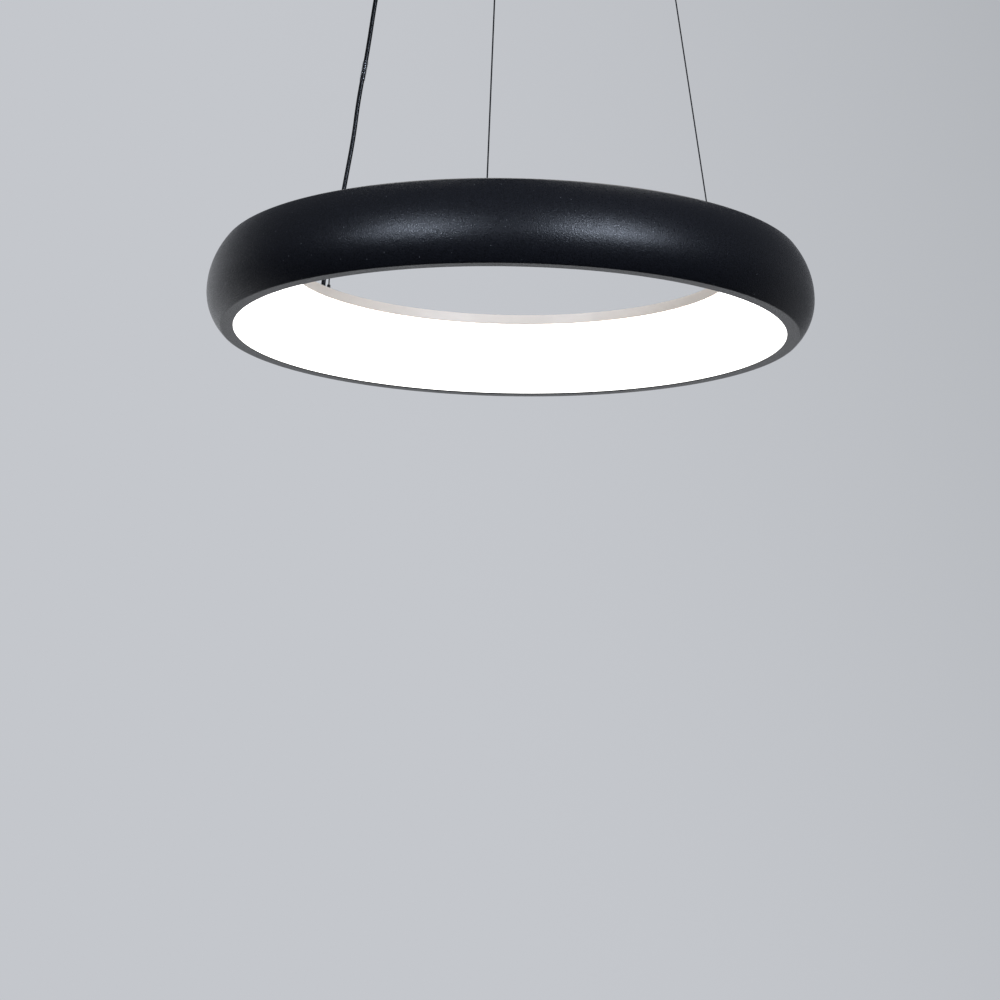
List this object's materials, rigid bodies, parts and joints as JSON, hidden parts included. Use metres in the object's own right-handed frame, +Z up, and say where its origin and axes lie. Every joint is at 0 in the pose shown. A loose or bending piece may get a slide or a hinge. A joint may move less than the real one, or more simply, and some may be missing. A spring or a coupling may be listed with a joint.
{
  "type": "ring pendant lamp",
  "caption": "Round black pendant lamp, open in the middle, with a glowing inner band, hung on thin steel wires from a ceiling canopy.",
  "frame": {"origin": "middle of the ceiling bracket's top face, where it lies against the ceiling, midway between its slots", "axes": "+Z up to the ceiling, +X along the bracket, -Y towards the front wire"},
  "size_m": [0.6, 0.6, 0.739],
  "materials": {
    "black_paint": "satin",
    "cream_paint": "matte",
    "opal": "matte",
    "bare_aluminium": "satin",
    "board_white": "satin",
    "warm_light": "gloss",
    "cool_light": "gloss",
    "steel": "satin",
    "black_screw": "satin",
    "nickel": "satin",
    "dark_cord": "satin",
    "clear_sleeve": "gloss",
    "black_rubber": "matte",
    "black_plastic": "matte",
    "white_plastic": "satin",
    "brass": "satin",
    "black_wire": "satin"
  },
  "bodies": {
    "canopy": {"canopy_cover": "black_paint", "ceiling_bracket": "steel", "side_screws": "black_screw", "driver_studs": "steel", "driver_case": "white_plastic", "driver_lid": "white_plastic", "driver_nuts": "steel", "mains_terminal_block": "white_plastic", "terminal_screws": "steel", "earth_screw": "brass", "canopy_gland": "black_plastic", "gland_nut": "black_plastic", "gripper_nuts": "steel", "gripper_nipple_front": "nickel", "gripper_nipple_right": "nickel", "gripper_nipple_left": "nickel", "gripper_body_front": "nickel", "gripper_body_right": "nickel", "gripper_body_left": "nickel", "gripper_spring_front": "steel", "gripper_spring_right": "steel", "gripper_spring_left": "steel", "wire_front": "black_wire", "wire_right": "black_wire", "wire_left": "black_wire", "power_cord": "dark_cord", "cord_sleeves": "clear_sleeve"},
    "ring": {"outer_shell": "black_paint", "opal_diffuser": "opal", "inner_collar": "cream_paint", "top_cover": "black_paint", "led_carrier": "bare_aluminium", "led_boards": "board_white", "warm_leds": "warm_light", "cool_leds": "cool_light", "carrier_spacers": "bare_aluminium", "carrier_screws": "steel", "carrier_nuts": "steel", "cover_screws": "black_screw", "collar_rivets": "cream_paint", "diffuser_clips": "steel", "ring_terminal_block": "white_plastic", "cord_grommet": "black_rubber", "ferrule_nuts": "steel", "ferrule_front": "black_screw", "ferrule_right": "black_screw", "ferrule_left": "black_screw"},
    "plunger_front": {"gripper_plunger_front": "nickel", "gripper_balls_front": "steel"},
    "plunger_right": {"gripper_plunger_right": "nickel", "gripper_balls_right": "steel"},
    "plunger_left": {"gripper_plunger_left": "nickel", "gripper_balls_left": "steel"}
  },
  "joints": [
    {"name": "height_adjust", "type": "slide", "parent": "canopy", "child": "ring", "axis": [0, 0, 1], "range_m": [0, 0.3], "deforming": ["wire_front", "wire_right", "wire_left", "power_cord", "cord_sleeves"]},
    {"name": "gripper_release_front", "type": "slide", "parent": "canopy", "child": "plunger_front", "axis": [0, 0, 1], "range_m": [0, 0.0025], "stiffness_N_per_m": 400, "springref_m": -0.002, "deforming": ["gripper_spring_front"]},
    {"name": "gripper_release_right", "type": "slide", "parent": "canopy", "child": "plunger_right", "axis": [0, 0, 1], "range_m": [0, 0.0025], "stiffness_N_per_m": 400, "springref_m": -0.002, "deforming": ["gripper_spring_right"]},
    {"name": "gripper_release_left", "type": "slide", "parent": "canopy", "child": "plunger_left", "axis": [0, 0, 1], "range_m": [0, 0.0025], "stiffness_N_per_m": 400, "springref_m": -0.002, "deforming": ["gripper_spring_left"]}
  ]
}
